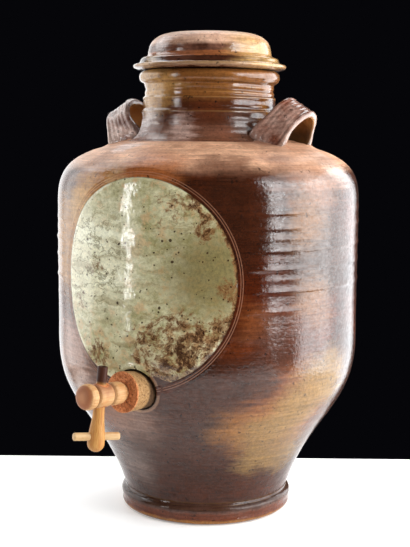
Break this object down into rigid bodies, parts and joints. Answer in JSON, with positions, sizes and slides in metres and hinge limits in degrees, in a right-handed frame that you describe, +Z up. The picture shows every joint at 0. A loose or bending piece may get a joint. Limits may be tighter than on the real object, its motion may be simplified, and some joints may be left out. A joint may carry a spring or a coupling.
{
  "type": "vinegar crock",
  "caption": "Round stoneware vinegar crock on a foot ring, with a neck collar, lid, strap handles and a corked wooden tap that swivels and has a T-shaped key.",
  "frame": {"origin": "centre of the foot ring's standing circle, on the crock's axis", "axes": "+Z up along the crock's axis, -Y towards the tap, the handles on +X and -X"},
  "size_m": [0.285, 0.3474, 0.4515],
  "materials": {
    "stoneware": "wood-fired brown glaze, glossy, with ochre flashes and throwing rings",
    "disc_glaze": "grey-green glaze, glossy, speckled, over brown clay",
    "cork": "natural cork, granular, unsealed",
    "beech": "turned beech, smooth, unvarnished, stained by vinegar in places",
    "stained_beech": "turned beech, smooth, waxed, dark where vinegar has soaked in"
  },
  "bodies": {
    "crock": {"crock_body": "stoneware", "foot_ring": "stoneware", "neck_collar": "stoneware", "left_handle": "stoneware", "right_handle": "stoneware", "glaze_disc": "disc_glaze"},
    "lid": {"lid": "stoneware"},
    "bung": {"cork_bung": "cork"},
    "tap": {"tap_barrel": "beech", "key_seat_cork": "cork"},
    "key": {"tap_key": "stained_beech", "key_crossbar": "beech"}
  },
  "joints": [
    {"name": "lid_lift", "type": "slide", "parent": "crock", "child": "lid", "axis": [0, 0, 1], "range_m": [0, 0.15]},
    {"name": "bung_pull", "type": "slide", "parent": "crock", "child": "bung", "axis": [-0.2073, -0.9751, 0.0785], "range_m": [0, 0.06]},
    {"name": "tap_swivel", "type": "hinge", "parent": "bung", "child": "tap", "pos_m": [0, -0.13954, 0.1365], "axis": [-0.2073, -0.9751, 0.0785], "range_deg": [-180, 180]},
    {"name": "key_turn", "type": "hinge", "parent": "tap", "child": "key", "pos_m": [-0.00922, -0.18293, 0.13999], "axis": [0.0675, 0.0658, 0.9956], "continuous": true}
  ]
}
